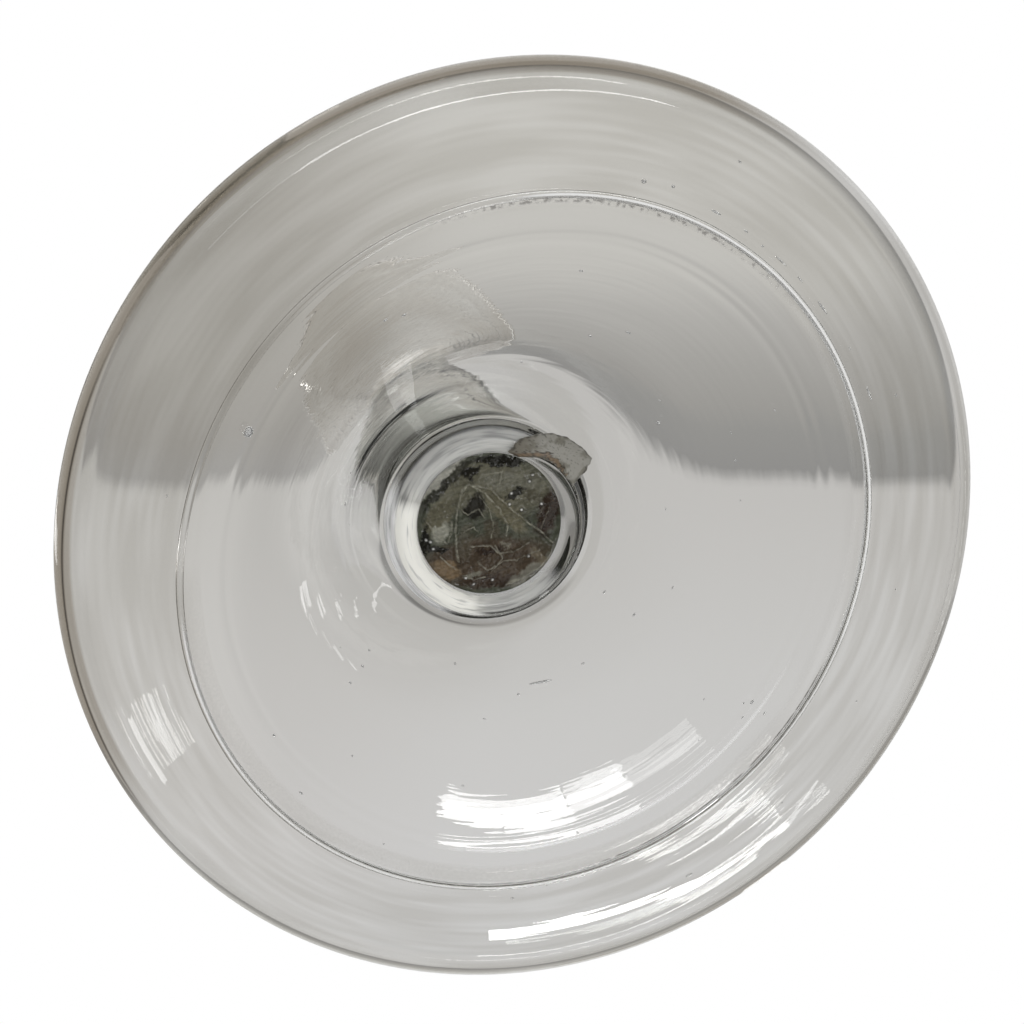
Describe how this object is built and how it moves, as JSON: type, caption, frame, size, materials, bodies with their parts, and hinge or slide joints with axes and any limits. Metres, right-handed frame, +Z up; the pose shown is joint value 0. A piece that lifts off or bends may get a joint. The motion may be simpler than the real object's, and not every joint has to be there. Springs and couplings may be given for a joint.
{
  "type": "trumpet wine glass",
  "caption": "Clear wine glass with a trumpet bowl drawn into a solid plain stem, on a high conical foot with a folded rim and a broken pontil mark underneath.",
  "frame": {"origin": "centre of the ring on which the foot rests, on the table's surface", "axes": "+Z up; the stem's base stands 3.2 mm off the foot's centre toward -X and 0.5 mm toward +Y, and the stem leans by about 2 degrees, so that the centre of the bowl's level rim lies at x -0.7 mm, y -3.7 mm"},
  "size_m": [0.076, 0.076, 0.169],
  "materials": {
    "clear_glass": "fire-polished clear lead glass with a faint grey tint",
    "foot_glass": "fire-polished clear lead glass, grey in tint, with seeds and tooling rings",
    "broken_glass": "rough broken glass with old dirt in its hollows"
  },
  "bodies": {
    "root": {"bowl_and_stem": "clear_glass", "foot": "foot_glass", "pontil_mark": "broken_glass"}
  },
  "joints": []
}
